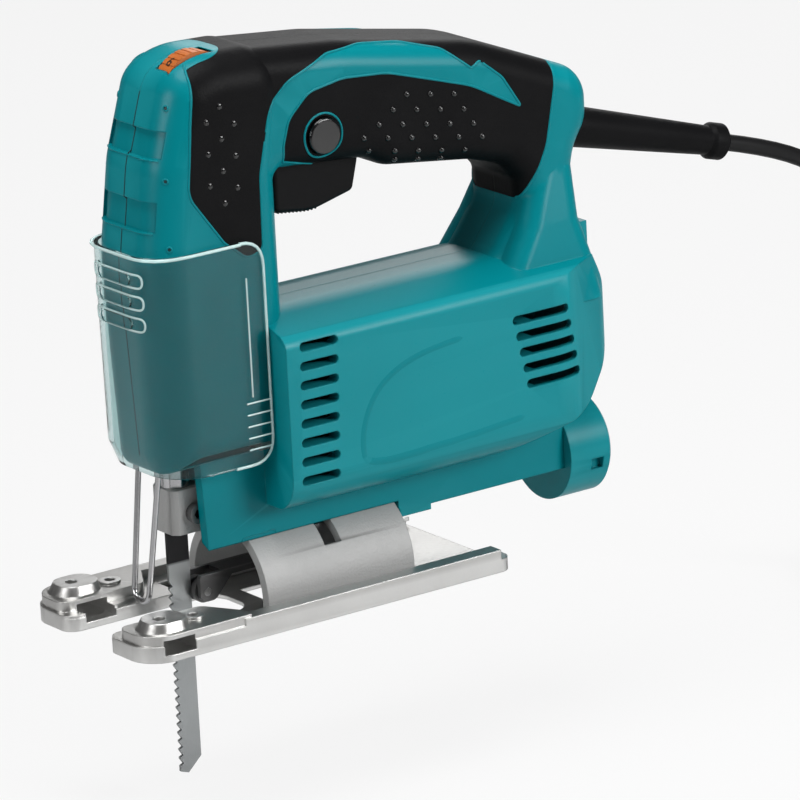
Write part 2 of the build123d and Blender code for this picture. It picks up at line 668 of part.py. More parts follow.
with BuildPart() as trigger:
    with BuildSketch(Plane.XZ):
        with BuildLine():
            FilletPolyline(
                (44.2, 153), (44.2, 133.5), (60, 131.6), (76.5, 135.5), (79, 145), (80.4, 153),
                radius=[0.5, 3, 20, 2.5, 2, 0.5], close=True,
            )
        make_face()
    extrude(amount=trigger_half_width, both=True)
    fillet(trigger.faces().sort_by(Axis.Y)[0].edges().group_by(Axis.Z)[0], 2)
    fillet(trigger.faces().sort_by(Axis.Y)[-1].edges().group_by(Axis.Z)[0], 2)
save(trigger, "trigger")

with BuildPart() as lock_button:
    button_inner = -handle_half_width + wall + slide_gap
    y_rod(button_x, -handle_half_width - 1.6, button_inner + 2.5, button_z, button_radius)
    fillet(lock_button.edges().filter_by(GeomType.CIRCLE).sort_by(Axis.Y)[0], 0.8)
save(lock_button, "lock_button")

# Cord entry: tapered relief, the cord's inner end and its clamp bar
with BuildPart() as strain_relief:
    with BuildSketch(Plane.XZ) as relief_profile:
        with BuildLine():
            Polyline(
                (0, flange_in), (relief_flange, flange_in), (relief_flange, flange_out),
                (relief_root, flange_out), (relief_root, 6), (relief_tip, relief_length - 8),
                (relief_bead, relief_length - 6), (relief_bead, relief_length - 1.5),
                (relief_bead - 1.5, relief_length), (0, relief_length), close=True,
            )
        make_face()
    revolve(axis=Axis.Z)
strain_relief.part = relief_plane.location * strain_relief.part
save(strain_relief, "strain_relief")

with BuildPart() as cord_tail:
    with BuildSketch(relief_plane.offset(flange_in - 16)):
        Circle(cord_radius)
    extrude(amount=16)
save(cord_tail, "cord_tail")

with BuildPart() as cord_clamp:
    clamp_center = relief_plane.origin + relief_way * (flange_in - 10)
    clamp_half = handle_half_width - wall - seat_gap
    span_box(clamp_center.X - 4, clamp_center.X + 4, -clamp_half, clamp_half,
             clamp_center.Z - 8, clamp_center.Z)
    add(cord_tail.part, mode=Mode.SUBTRACT)
save(cord_clamp, "cord_clamp")

# Hex key, hanging in its clip behind the barrel
with BuildPart() as hex_key:
    with BuildLine() as key_path:
        FilletPolyline((key_x, 0, key_low), (key_x, 0, key_high), (key_x, 16, key_high), radius=5)
    with BuildSketch(Plane(origin=(key_x, 0, key_low), z_dir=(0, 0, 1))):
        RegularPolygon(key_radius, 6)
    sweep(path=key_path.line, transition=Transition.RIGHT)
save(hex_key, "hex_key")

# Wire guard, a bent U in front of the blade
with BuildPart() as wire_guard:
    with BuildLine() as guard_path:
        FilletPolyline(
            (-7.2, 6, head_bottom + 7), (-7.2, 6, head_bottom - 2), (-13, 4.4, 9.5), (-13, -4.4, 9.5),
            (-7.2, -6, head_bottom - 2), (-7.2, -6, head_bottom + 7), radius=[6, 3.6, 3.6, 6],
        )
    with BuildSketch(Plane(origin=(-7.2, 6, head_bottom + 7), z_dir=(0, 0, -1))):
        Circle(wire_radius)
    sweep(path=guard_path.line)
save(wire_guard, "wire_guard")


def cover_blank(inset, low, high):
    """Cover's outside, or its inside when inset by the wall."""
    half = head_half_width + 0.4 + cover_wall - inset
    rear = cover_rear if inset == 0 else cover_rear + 5
    sections = ((low, cover_front_bottom), (cover_shoulder, cover_front_shoulder), (high, cover_front_top))
    with BuildPart() as blank:
        for z, front in sections:
            with BuildSketch(Plane.XY.offset(z)):
                with BuildLine():
                    FilletPolyline(
                        (rear, -half), (front + inset, -half), (front + inset, half), (rear, half),
                        radius=[0, cover_round - inset, cover_round - inset, 0], close=True,
                    )
                make_face()
        loft(ruled=True)
    return blank.part


# Clear dust cover with three finger ribs on its front
cover_outer = cover_blank(0, cover_bottom, cover_top)
cover_inner = cover_blank(cover_wall, cover_bottom - 0.01, cover_top + 0.01)
with BuildPart() as dust_cover:
    add(cover_outer)
    for i in range(3):
        with BuildSketch(Plane.YZ.offset(cover_front_top - 0.6)):
            with Locations((0, cover_top - 8 - 7.5 * i)):
                SlotOverall(18, 4)
        extrude(amount=3)
    add(cover_inner, mode=Mode.SUBTRACT)
    with BuildSketch(Plane.XZ):
        with Locations((cover_rear - 50, (cover_bottom + cover_top) / 2)):
            RectangleRounded(100, cover_top - cover_bottom, cover_corner)
    extrude(amount=2 * head_half_width, both=True, mode=Mode.INTERSECT)
save(dust_cover, "dust_cover")

# Roller that backs the blade, its pin and the retainer that the base bolt holds
roller_x = blade_back + slide_gap + roller_radius - roller_groove
with BuildPart() as blade_roller:
    y_rod(roller_x, -roller_half_width, roller_half_width, roller_z, roller_radius)
    y_hole(roller_x, -blade_thick / 2 - slide_gap, blade_thick / 2 + slide_gap, roller_z, roller_radius + 1)
    y_rod(roller_x, -roller_half_width, roller_half_width, roller_z, roller_radius - roller_groove)
    y_hole(roller_x, -roller_half_width - 1, roller_half_width + 1, roller_z, roller_pin + running_gap)
save(blade_roller, "blade_roller")

cheek = 1.8
cheek_out = roller_half_width + slide_gap + cheek
with BuildPart() as roller_pin_piece:
    y_rod(roller_x, -cheek_out, cheek_out, roller_z, roller_pin)
save(roller_pin_piece, "roller_pin")

strip_top = saddle_bottom - seat_gap
with BuildPart() as roller_retainer:
    with BuildSketch(Plane.XZ):
        with BuildLine():
            FilletPolyline(
                (roller_x - 3, strip_top), (roller_x - 3, roller_z - 3.4), (roller_x + 3, roller_z - 3.4),
                (roller_x + 9, strip_top - strip_thick - 1), (roller_x + 12, strip_top),
                radius=[1, 2.9, 2.9, 1, 0], close=True,
            )
        make_face()
    extrude(amount=cheek_out, both=True)
    cut_box(roller_x - 6, roller_x + 20, cheek - cheek_out, cheek_out - cheek, 0, 30)
    span_box(roller_x + 6.5, bolt_x + 11, -cheek_out, cheek_out, strip_top - strip_thick, strip_top)
    y_hole(roller_x, -9, 9, roller_z, roller_pin)
    slot_rear = bolt_x + bolt_radius + slide_gap
    cut_box(bolt_x - bolt_radius - slide_gap - retainer_travel, slot_rear, -bolt_radius - slide_gap,
             bolt_radius + slide_gap, 0, 30)
save(roller_retainer, "roller_retainer")

# Base clamp: bolt, saddle under the segment and nut in the barrel's floor
nut_seat = barrel_bottom + wall
with BuildPart() as base_saddle:
    with BuildSketch(Plane.YZ.offset(bolt_x - saddle_length / 2)):
        with Locations((0, tilt_height)):
            Circle(segment_radius - segment_wall - slide_gap)
        with Locations((0, saddle_bottom + 20)):
            Rectangle(2 * saddle_half_width, 40, mode=Mode.INTERSECT)
    extrude(amount=saddle_length)
    z_hole(bolt_x, 0, 0, 40, bolt_radius + 0.1)
save(base_saddle, "base_saddle")

with BuildPart() as base_bolt:
    head_top = strip_top - strip_thick - seat_gap
    z_rod(bolt_x, 0, head_top, nut_seat + nut_height, bolt_radius)
    z_rod(bolt_x, 0, head_top - bolt_head_height, head_top, bolt_head_radius)
    with BuildSketch(Plane.XY.offset(head_top - bolt_head_height)):
        with Locations((bolt_x, 0)):
            RegularPolygon(2.8, 6)
    extrude(amount=2.6, mode=Mode.SUBTRACT)
save(base_bolt, "base_bolt")

with BuildPart() as base_nut:
    span_box(bolt_x - nut_side / 2, bolt_x + nut_side / 2, -nut_side / 2, nut_side / 2,
             nut_seat, nut_seat + nut_height)
    z_hole(bolt_x, 0, nut_seat - 1, nut_seat + nut_height + 1, bolt_radius)
save(base_nut, "base_nut")

# Bevel segment: arched saddle with feet that run in the shoe's groove
segment_inner = segment_radius - segment_wall
slot_angle = math.radians(45) + math.asin((bolt_radius + slide_gap) / segment_inner) + 0.02
with BuildPart() as bevel_segment:
    with BuildSketch(Plane.YZ.offset(segment_front)):
        with Locations((0, tilt_height)):
            Circle(segment_radius)
            Circle(segment_inner, mode=Mode.SUBTRACT)
        with Locations((0, tilt_height - segment_radius)):
            Rectangle(4 * segment_radius, 2 * segment_radius, mode=Mode.SUBTRACT)
        foot_height = tilt_height - segment_foot
        for side in (-1, 1):
            with Locations((side * (segment_radius - segment_wall / 2), segment_foot + foot_height / 2)):
                Rectangle(segment_wall, foot_height)
            with Locations((side * (segment_radius + flange_reach / 2), segment_foot + flange_thick / 2)):
                Rectangle(flange_reach, flange_thick)
    extrude(amount=segment_rear - segment_front)
    slot_half = segment_radius * math.sin(slot_angle)
    slot_floor = tilt_height + segment_inner * math.cos(slot_angle)
    cut_box(bolt_x - bolt_radius - 0.4, bolt_x + bolt_radius + 0.4, -slot_half, slot_half, slot_floor, 40)
save(bevel_segment, "bevel_segment")

# Shoe: forked cast plate with rails, prongs, fence windows and a groove for the segment
groove_half = segment_radius + flange_reach + seat_gap
groove_front = segment_front - shoe_slide - 0.5
with BuildPart() as shoe:
    with BuildSketch(Plane.XY):
        with BuildLine():
            FilletPolyline(
                (shoe_front, fork_half_width), (shoe_front, shoe_half_width), (shoe_rear, shoe_half_width),
                (shoe_rear, -shoe_half_width), (shoe_front, -shoe_half_width), (shoe_front, -fork_half_width),
                (fork_end, -fork_half_width), (fork_end, fork_half_width),
                radius=[5, 11, 5, 5, 11, 5, 8, 8], close=True,
            )
        make_face()
    extrude(amount=plate_thick)
    for side in (-1, 1):
        rail = sorted((side * shoe_half_width, side * (shoe_half_width - rail_width)))
        span_box(rail_front, shoe_rear - 5, *rail, plate_floor, rail_height)
        with BuildSketch(Plane.XY.offset(plate_floor)):
            with BuildLine():
                FilletPolyline(
                    (shoe_front, side * fork_half_width), (shoe_front, side * shoe_half_width),
                    (rail_front + 4, side * shoe_half_width),
                    (rail_front + 4, side * (shoe_half_width - rail_width)),
                    (prong_rear, side * prong_inner), (prong_rear - 14, side * (fork_half_width + 1)),
                    radius=[5, 11, 0.5, 4, 5, 5], close=True,
                )
            make_face()
        extrude(amount=plate_thick - plate_floor + 1)
        with BuildSketch(Plane.XY.offset(plate_thick)):
            with BuildLine():
                FilletPolyline(
                    (shoe_front + 1, side * prong_inner), (shoe_front + 1, side * (shoe_half_width - 0.6)),
                    (rail_front + 3, side * (shoe_half_width - 0.6)),
                    (rail_front + 3, side * (shoe_half_width - rail_width)),
                    (prong_rear, side * prong_inner), radius=[4, 10, 0.5, 3, 4], close=True,
                )
            make_face()
        extrude(amount=prong_height - plate_thick)
        with BuildSketch(Plane.XY.offset(plate_thick)):
            with Locations((tip_x, side * fence_screw_y)):
                RectangleRounded(tip_length, tip_width, tip_round)
        with BuildSketch(Plane.XY.offset(fence_boss)):
            with Locations((tip_x + tip_lean, side * fence_screw_y)):
                RectangleRounded(tip_length - 2 * tip_slope, tip_width - 2 * tip_slope, tip_round - tip_slope)
        loft(ruled=True)
        z_rod(fence_screw_x + 14.4, side * (fence_screw_y - 1.5), plate_thick, prong_height + 1, 3.8)
    cut_box(groove_front, shoe_rear + 1, -groove_half, groove_half,
            plate_floor, segment_foot + flange_thick + 0.1)
    throat_half = segment_radius + seat_gap
    cut_box(groove_front, shoe_rear + 1, -throat_half, throat_half, plate_floor, 20)
    cut_box(bolt_x - shoe_slide - 9, bolt_x + 7, -7, 7, -1, 3)
    for side in (-1, 1):
        low, high = sorted((side * (fork_half_width - 1), side * (shoe_half_width + 1)))
        cut_box(fence_front, fence_rear, low, high, fence_low, fence_high)
        z_hole(fence_screw_x, side * fence_screw_y, fence_high - 1, fence_boss + 1, fence_screw_radius)
        z_hole(fence_screw_x + 14.4, side * (fence_screw_y - 1.5), -1, 20, 1.8)
save(shoe, "shoe")

# Cord: a hand-laid lead down to the floor, a tied coil, a short end and the plug
coil_top_end = 2 * coil_turns + 0.5


def coil_point(turn):
    """Point of the coil after so many turns: in on the floor, up inside, out on top and over the rim."""
    if turn < coil_turns:
        radius, height = coil_outer - coil_pitch * turn, 0
    elif turn < coil_turns + 0.5:
        share = 2 * (turn - coil_turns)
        radius = coil_outer - coil_pitch * coil_turns - 1.2 * math.sin(math.pi * share) ** 2
        height = coil_pitch * share * share * (3 - 2 * share)
    elif turn < coil_top_end:
        radius = coil_outer - coil_pitch * (coil_top_end - turn)
        height = coil_pitch
    else:
        share = 4 * (turn - coil_top_end)
        radius = coil_outer + 0.5 * math.sin(math.pi * share)
        height = coil_pitch * (1 + share * share * (3 - 2 * share))
    angle = math.pi / 2 - 2 * math.pi * turn
    return Vector(
        coil_center[0] + radius * math.cos(angle), coil_center[1] + radius * math.sin(angle), coil_z + height
    )


def coil_way(turn):
    """Direction of the coil at that point."""
    return (coil_point(turn + 0.001) - coil_point(turn - 0.001)).normalized()


def biarc(start, start_way, end, end_way):
    """Two arcs that leave the start and reach the end in the given directions."""
    chord, ways = end - start, start_way + end_way
    turn_share = 2 * (1 - start_way.dot(end_way))
    reach = (-chord.dot(ways) + math.sqrt(chord.dot(ways) ** 2 + turn_share * chord.dot(chord))) / turn_share
    middle = (start + end + (start_way - end_way) * reach) * 0.5
    middle_way = (end - end_way * reach - start - start_way * reach).normalized()
    TangentArc(start, middle, tangent=start_way)
    TangentArc(middle, end, tangent=middle_way)


total_turns = coil_top_end + 0.25
quarters = round(4 * total_turns)
with BuildPart() as cord_coil:
    with BuildLine() as coil_path:
        for i in range(quarters):
            here, there = i / 4, (i + 1) / 4
            biarc(coil_point(here), coil_way(here), coil_point(there), coil_way(there))
    with BuildSketch(Plane(origin=coil_point(0), z_dir=coil_way(0))):
        Circle(cord_radius)
    sweep(path=coil_path.line)
save(cord_coil, "cord_coil")

coil_samples = [coil_point(total_turns * i / 900) for i in range(901)]
least_gap = min(
    (a - b).length for i, a in enumerate(coil_samples) for b in coil_samples[i + 60:]
) - 2 * cord_radius
coil_length = sum(edge.length for edge in coil_path.edges())
print("coil least gap", round(least_gap, 2), "length", round(coil_length, 1))


def route_radii(points):
    """Largest arc for each corner that its two runs allow."""
    radii = []
    for before, here, after in zip(points, points[1:], points[2:]):
        run_in, run_out = Vector(here) - Vector(before), Vector(after) - Vector(here)
        turn = math.radians(run_in.get_angle(run_out))
        radii.append(0.45 * min(run_in.length, run_out.length) / math.tan(turn / 2))
    return radii


def cord_tube(points, name):
    """Round cord along straight runs joined by large arcs."""
    radii = route_radii(points)
    with BuildPart() as tube:
        with BuildLine() as path:
            FilletPolyline(*points, radius=radii)
        with BuildSketch(Plane(origin=points[0], z_dir=Vector(points[1]) - Vector(points[0]))):
            Circle(cord_radius)
        sweep(path=path.line)
    length = sum(edge.length for edge in path.edges())
    share = tube.part.volume / (math.pi * cord_radius**2 * length)
    print(name, "length", round(length, 1), "volume share", round(share, 4))
    print(name, "radii", [round(r) for r in radii])
    save(tube, name)


relief_end = relief_plane.origin + relief_way * relief_length
coil_in, coil_out = coil_point(0), coil_point(total_turns)
lead_first = relief_end + relief_way * 28
lead_last = coil_in - coil_way(0) * 30
cord_tube(
    [
        tuple(relief_end), tuple(lead_first), (288, 5, 93), (300, 16, 62), (296, 28, 28), (293, 38, -6),
        (294, 46, -38), tuple(lead_last), tuple(coil_in),
    ],
    "cord_lead",
)
plug_x, plug_y = 348.0, -36.5
plug_z = coil_z + coil_pitch + cord_radius + slide_gap + plug_height / 2
cord_tube(
    [
        tuple(coil_out), (coil_out.X, -16, coil_out.Z), (coil_out.X - 12.4, -33, coil_out.Z),
        (plug_x + 20, plug_y, coil_out.Z + 0.4), (plug_x + 8, plug_y, plug_z), (plug_x, plug_y, plug_z),
    ],
    "cord_end",
)

with BuildPart() as coil_tie:
    tie_low = coil_outer - coil_pitch * coil_turns - cord_radius - 2
    tie_high = coil_outer + cord_radius + slide_gap
    tie_way = math.sqrt(0.5)
    tie_plane = Plane(
        origin=(*coil_center, floor_z), x_dir=(-tie_way, tie_way, 0), z_dir=(tie_way, tie_way, 0)
    )
    tie_middle, tie_long = (tie_low + tie_high) / 2, tie_high - tie_low
    tie_tall = coil_pitch + 2 * cord_radius + 2 * slide_gap
    with BuildSketch(tie_plane.offset(-tie_width / 2)):
        with Locations((tie_middle, tie_thick + tie_tall / 2)):
            RectangleRounded(tie_long + 2 * tie_thick, tie_tall + 2 * tie_thick, 4 + tie_thick)
            RectangleRounded(tie_long, tie_tall, 4, mode=Mode.SUBTRACT)
    extrude(amount=tie_width)
save(coil_tie, "coil_tie")

# Two-pin plug, lying on the coil
with BuildPart() as plug:
    plug_sections = ((0, 9, 9), (12, 12, 11), (22, plug_width - 2, plug_height), (38, plug_width, plug_height))
    for back, width, height in plug_sections:
        with BuildSketch(Plane(origin=(plug_x - back, plug_y, plug_z), x_dir=(0, 1, 0), z_dir=(-1, 0, 0))):
            RectangleRounded(width, height, 4)
    loft(ruled=True)
    for side in (-1, 1):
        x_rod(plug_x - 57, plug_x - 38, plug_y + 9.5 * side, plug_z, 2)
save(plug, "plug")
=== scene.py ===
import bpy
import bmesh
import math
from mathutils import Matrix, Vector
from mathutils.bvhtree import BVHTree


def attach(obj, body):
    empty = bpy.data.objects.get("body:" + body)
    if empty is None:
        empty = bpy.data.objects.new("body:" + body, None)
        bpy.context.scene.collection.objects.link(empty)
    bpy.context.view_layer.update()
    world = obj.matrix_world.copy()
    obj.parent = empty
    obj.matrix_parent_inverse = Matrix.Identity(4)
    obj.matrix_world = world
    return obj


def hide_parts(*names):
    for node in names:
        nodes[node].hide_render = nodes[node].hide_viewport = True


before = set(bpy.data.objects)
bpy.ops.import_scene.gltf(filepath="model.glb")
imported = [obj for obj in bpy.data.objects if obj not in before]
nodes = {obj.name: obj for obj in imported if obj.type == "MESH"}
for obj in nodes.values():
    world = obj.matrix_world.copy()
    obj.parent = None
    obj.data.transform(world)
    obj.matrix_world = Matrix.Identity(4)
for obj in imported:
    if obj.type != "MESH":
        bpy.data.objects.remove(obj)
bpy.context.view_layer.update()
mm = 0.001


def addNode(tree, kind, **values):
    node = tree.nodes.new(kind)
    for key, value in values.items():
        if key in node.inputs:
            node.inputs[key].default_value = value
        else:
            setattr(node, key, value)
    return node


# Places of a colour Mix node's sockets
mixShare, mixFirst, mixSecond, mixResult = 0, 6, 7, 2


def mixColours(tree, share, first, second):
    mix = addNode(tree, "ShaderNodeMix", data_type="RGBA")
    tree.links.new(share, mix.inputs[mixShare])
    if isinstance(first, tuple):
        mix.inputs[mixFirst].default_value = (*first, 1)
    else:
        tree.links.new(first, mix.inputs[mixFirst])
    mix.inputs[mixSecond].default_value = (*second, 1)
    return mix.outputs[mixResult]


def mapRange(tree, source, limits):
    ramp = addNode(tree, "ShaderNodeMapRange", **limits)
    tree.links.new(source, ramp.inputs["Value"])
    return ramp.outputs["Result"]


def mixSurface(tree, share, first, second):
    mix = addNode(tree, "ShaderNodeMixShader")
    for socket, source in zip(mix.inputs, (share, first, second)):
        tree.links.new(source, socket)
    tree.links.new(mix.outputs["Shader"], tree.nodes["Material Output"].inputs["Surface"])


# What a finish has where its own dictionary says nothing else
plainFinish = {
    "washScale": 40.0, "washDetail": 4.0, "grainScale": 900.0, "grainDetail": 3.0, "bumpDepth": 0.0004,
    "wearAndHighlightFrom": 0.53, "wearAndHighlightTo": 0.62, "wearAndHighlightAmount": 0.5, "edgeSamples": 4, "shader": {},
}


# Materials: one dictionary each, from noise on object coordinates, with softened edges
def makeMaterial(name, ownLook):
    look = {**plainFinish, **ownLook}
    material = bpy.data.materials.new(name)
    material.use_nodes = True
    tree = material.node_tree
    shader = tree.nodes["Principled BSDF"]
    for key, value in look["shader"].items():
        shader.inputs[key].default_value = value
    coords = addNode(tree, "ShaderNodeTexCoord").outputs["Object"]
    wash = addNode(tree, "ShaderNodeTexNoise", Scale=look["washScale"], Detail=look["washDetail"])
    tree.links.new(coords, wash.inputs["Vector"])
    colour = mixColours(tree, wash.outputs["Fac"], look["dark"], look["light"])
    if "below" in look:  # a second colour under a height, as on the blade
        parts = addNode(tree, "ShaderNodeSeparateXYZ")
        tree.links.new(coords, parts.inputs["Vector"])
        limits = {
            "From Min": look["belowHeight"] * mm,
            "From Max": (look["belowHeight"] - look["belowSoft"]) * mm,
        }
        colour = mixColours(tree, mapRange(tree, parts.outputs["Z"], limits), colour, look["below"])
    if "wearAndEdgeHighlight" in look:  # convex edges get a lighter colour: a painted edge highlight, which on the metal parts stands also for rubbed wear
        pointyEdges = addNode(tree, "ShaderNodeNewGeometry").outputs["Pointiness"]
        limits = {"From Min": look["wearAndHighlightFrom"], "From Max": look["wearAndHighlightTo"], "To Max": look["wearAndHighlightAmount"]}
        colour = mixColours(tree, mapRange(tree, pointyEdges, limits), colour, look["wearAndEdgeHighlight"])
    tree.links.new(colour, shader.inputs["Base Color"])
    grain = addNode(tree, "ShaderNodeTexNoise", Scale=look["grainScale"], Detail=look["grainDetail"])
    if "stretch" in look:  # grain drawn out, as on brushed steel and laminations
        drawn = addNode(tree, "ShaderNodeMapping", Scale=look["stretch"])
        tree.links.new(coords, drawn.inputs["Vector"])
        coords = drawn.outputs["Vector"]
    tree.links.new(coords, grain.inputs["Vector"])
    limits = {"To Min": look["rough"][0], "To Max": look["rough"][1]}
    tree.links.new(mapRange(tree, grain.outputs["Fac"], limits), shader.inputs["Roughness"])
    bump = addNode(tree, "ShaderNodeBump", Strength=look["bump"], Distance=look["bumpDepth"])
    tree.links.new(grain.outputs["Fac"], bump.inputs["Height"])
    if "edge" in look:  # rounded edges catch the light, as on a moulding
        soften = addNode(tree, "ShaderNodeBevel", samples=look["edgeSamples"], Radius=look["edge"] * mm)
        tree.links.new(soften.outputs["Normal"], bump.inputs["Normal"])
    tree.links.new(bump.outputs["Normal"], shader.inputs["Normal"])
    if "through" in look:  # clear plastic lets the lamps through to what is behind it
        shadowRay = addNode(tree, "ShaderNodeLightPath").outputs["Is Shadow Ray"]
        through = addNode(tree, "ShaderNodeBsdfTransparent", Color=(*look["through"], 1))
        mixSurface(tree, shadowRay, shader.outputs["BSDF"], through.outputs["BSDF"])
    return material


looks = {
    "casing": {
        "dark": (0.0, 0.175, 0.205), "light": (0.0, 0.215, 0.25), "washScale": 18.0, "rough": (0.24, 0.36),
        # the lighter teal on the convex edges is a painted highlight
        "grainScale": 1500.0, "bump": 0.05, "bumpDepth": 0.0001, "wearAndEdgeHighlight": (0.03, 0.36, 0.40),
        "wearAndHighlightAmount": 0.3, "edge": 0.7, "shader": {"Specular IOR Level": 0.14},
    },
    # dark teal for the seam line, and for the flat domes that paint the shade inside the nose's dimples
    "seamAndDimpleShade": {"dark": (0.0, 0.02, 0.024), "light": (0.0, 0.035, 0.04), "rough": (0.5, 0.6), "bump": 0.05},
    "grip": {
        "dark": (0.0035, 0.0035, 0.004), "light": (0.0075, 0.0075, 0.008), "washScale": 60.0,
        "rough": (0.36, 0.52), "grainScale": 1500.0, "bump": 0.25, "bumpDepth": 0.0003, "edge": 0.5,
        "shader": {"Specular IOR Level": 0.06},
    },
    "black": {
        "dark": (0.004, 0.004, 0.0045), "light": (0.008, 0.008, 0.0085), "rough": (0.28, 0.42),
        "bump": 0.05, "edge": 0.5, "shader": {"Specular IOR Level": 0.1},
    },
    "gloss": {
        "dark": (0.002, 0.002, 0.0025), "light": (0.004, 0.004, 0.004), "rough": (0.08, 0.14),
        "bump": 0.01, "edge": 0.6, "shader": {"Coat Weight": 0.4, "Coat Roughness": 0.06},
    },
    "cord": {
        "dark": (0.005, 0.005, 0.0055), "light": (0.010, 0.010, 0.0105), "rough": (0.38, 0.5),
        "bump": 0.06, "shader": {"Specular IOR Level": 0.2},
    },
    "dial": {
        "dark": (0.40, 0.09, 0.015), "light": (0.58, 0.17, 0.03), "washScale": 120.0,
        "rough": (0.35, 0.5), "bump": 0.1,
    },
    "ink": {"dark": (0.01, 0.006, 0.004), "light": (0.02, 0.012, 0.008), "rough": (0.5, 0.6), "bump": 0.02},
    "alloy": {
        "dark": (0.44, 0.435, 0.425), "light": (0.60, 0.595, 0.58), "washScale": 55.0,
        "rough": (0.26, 0.44), "grainScale": 650.0, "bump": 0.2, "bumpDepth": 0.0003,
        "wearAndEdgeHighlight": (0.85, 0.85, 0.84), "wearAndHighlightAmount": 0.6, "edge": 0.6, "shader": {"Metallic": 1.0},
    },
    "blasted": {
        "dark": (0.19, 0.19, 0.185), "light": (0.27, 0.27, 0.262), "washScale": 260.0, "rough": (0.5, 0.68),
        "grainScale": 1300.0, "bump": 0.45, "bumpDepth": 0.0003, "wearAndEdgeHighlight": (0.6, 0.6, 0.6), "edge": 0.5,
        "shader": {"Metallic": 0.3, "Specular IOR Level": 0.3},
    },
    "steel": {
        "dark": (0.42, 0.42, 0.43), "light": (0.60, 0.60, 0.61), "rough": (0.16, 0.3), "grainScale": 300.0,
        "stretch": (6.0, 6.0, 0.6), "bump": 0.08, "edge": 0.3, "shader": {"Metallic": 1.0},
    },
    "darkSteel": {
        "dark": (0.016, 0.016, 0.017), "light": (0.035, 0.035, 0.037), "rough": (0.28, 0.45), "bump": 0.1,
        "wearAndEdgeHighlight": (0.25, 0.25, 0.25), "wearAndHighlightAmount": 0.5, "edge": 0.3, "shader": {"Metallic": 0.6},
    },
    "blade": {
        "dark": (0.012, 0.012, 0.013), "light": (0.03, 0.03, 0.032), "rough": (0.3, 0.46),
        "grainScale": 420.0, "stretch": (8.0, 8.0, 0.5), "bump": 0.12, "below": (0.36, 0.375, 0.38),
        "belowHeight": 20.0, "belowSoft": 1.0, "shader": {"Metallic": 0.85},
    },
    "brass": {
        "dark": (0.55, 0.36, 0.12), "light": (0.70, 0.50, 0.2), "rough": (0.2, 0.35), "bump": 0.05,
        "shader": {"Metallic": 1.0},
    },
    "copper": {
        "dark": (0.40, 0.15, 0.05), "light": (0.60, 0.26, 0.1), "rough": (0.3, 0.45), "bump": 0.2,
        "shader": {"Metallic": 1.0},
    },
    "core": {
        "dark": (0.08, 0.08, 0.085), "light": (0.14, 0.14, 0.145), "rough": (0.4, 0.55),
        "grainScale": 500.0, "stretch": (8.0, 0.3, 0.3), "bump": 0.3, "shader": {"Metallic": 0.7},
    },
    "clear": {
        "dark": (0.55, 0.70, 0.70), "light": (0.60, 0.74, 0.74), "rough": (0.01, 0.03), "bump": 0.0,
        "through": (0.20, 0.26, 0.26), "shader": {"Transmission Weight": 1.0, "IOR": 1.32},
    },
    # paler and less clear than the cover itself: a painted highlight along its rims and ribs
    "clearEdgeHighlight": {
        "dark": (0.72, 0.90, 0.89), "light": (0.80, 0.95, 0.94), "rough": (0.08, 0.16), "bump": 0.02,
        "through": (0.8, 0.9, 0.9), "shader": {"Transmission Weight": 0.45, "IOR": 1.42},
    },
    "floor": {
        "dark": (0.55, 0.55, 0.55), "light": (0.58, 0.58, 0.58), "washScale": 3.0,
        "rough": (0.6, 0.7), "bump": 0.02,
    },
}
materials = {name: makeMaterial(name, look) for name, look in looks.items()}
print("materials", len(materials))

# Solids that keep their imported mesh: a finish for each
dress = {
    "black": ["coil_tie", "cord_clamp", "switch_body", "speed_control", "cooling_fan", "carbon_brushes"],
    "cord": ["cord_lead", "cord_coil", "cord_end", "cord_tail"],
    "blasted": ["gear_housing"],
    "steel": ["base_saddle", "base_nut", "roller_pin", "slider", "crank_gear", "crank_pin", "gear_shaft",
              "armature_shaft", "front_bearing", "rear_bearing", "brush_springs"],
    "darkSteel": ["housing_screws"],
    "brass": ["slider_bushes", "brush_holders"],
    "copper": ["commutator", "field_windings"],
    "core": ["armature_core", "stator_core"],
}
for look, names in dress.items():
    for name in names:
        slots = nodes[name].data.materials
        slots.clear()
        slots.append(materials[look])
print("solids dressed")


def finishPiece(name, shape, look, body, smooth=True):
    mesh = bpy.data.meshes.new(name)
    shape.to_mesh(mesh)
    shape.free()
    piece = bpy.data.objects.new(name, mesh)
    bpy.context.scene.collection.objects.link(piece)
    mesh.materials.append(materials[look])
    if smooth:
        mesh.polygons.foreach_set("use_smooth", [True] * len(mesh.polygons))
    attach(piece, body)
    return piece


# Outer mouldings and castings: a merged copy of the solid, smooth between its sharp edges
mouldings = {
    "housing_left": ("casing", "body", "casing"),
    "housing_right": ("casing", "body", "casing"),
    "dust_port": ("casing", "body", "casing"),
    "grip_left": ("grip", "body", "grip"),
    "grip_right": ("grip", "body", "grip"),
    "strain_relief": ("grip", "body", "grip"),
    "hex_key": ("darkSteel", "body", "dark_steel"),
    "wire_guard": ("steel", "body", "steel"),
    "plug": ("black", "body", "black_plastic"),
    "base_bolt": ("darkSteel", "body", "steel"),
    "trigger": ("black", "trigger", "black_plastic"),
    "lock_button": ("gloss", "lock_button", "black_plastic"),
    "speed_dial": ("dial", "speed_dial", "dial"),
    "dust_cover": ("clear", "dust_cover", "clear"),
    "shoe": ("alloy", "shoe", "bright_alloy"),
    "bevel_segment": ("blasted", "bevel", "cast_alloy"),
    "roller_retainer": ("darkSteel", "retainer", "dark_steel"),
    "blade_roller": ("darkSteel", "roller", "steel"),
    "blade_clamp": ("blasted", "stroke", "dark_steel"),
    "clamp_screw": ("darkSteel", "stroke", "dark_steel"),
    "blade": ("blade", "stroke", "blade_steel"),
}
sharpAngle = math.radians(33)
mergeGap = 0.002
